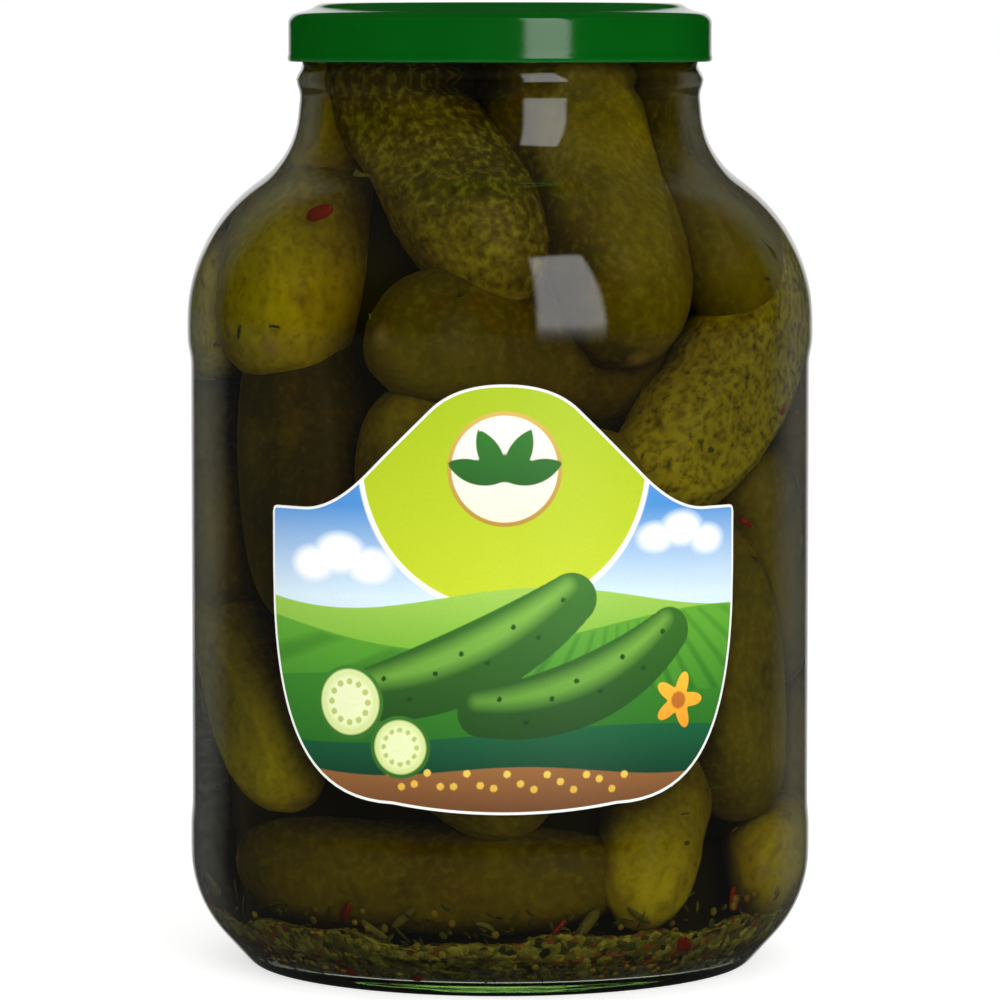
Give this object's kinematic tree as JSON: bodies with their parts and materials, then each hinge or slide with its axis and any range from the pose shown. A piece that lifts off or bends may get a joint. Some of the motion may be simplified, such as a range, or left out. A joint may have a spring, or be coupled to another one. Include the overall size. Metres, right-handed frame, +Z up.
{
  "type": "pickle jar",
  "caption": "Tall round shop jar of gherkins in brine: clear glass with a rounded shoulder and short neck, a green metal twist cap and a shaped paper label on the front.",
  "frame": {"origin": "middle of the base, on the surface that the jar stands on", "axes": "+Z up along the jar's axis, -Y out of the label's face, +X to the right as the label is read"},
  "size_m": [0.166, 0.166, 0.2545],
  "materials": {
    "jar_glass": "clear soda-lime glass with a faint green tint",
    "lid": "glossy green lacquer on tinplate",
    "label": "coated paper with a semi-gloss print",
    "gherkin": "wet, warty gherkin skin",
    "brine": "clear yellow-green liquid",
    "pepper": "wet red pepper skin",
    "spice": "mustard seeds, onion and dill"
  },
  "bodies": {
    "root": {"jar_glass": "jar_glass", "lid": "lid", "label": "label", "gherkin_heap": "gherkin"}
  },
  "joints": []
}
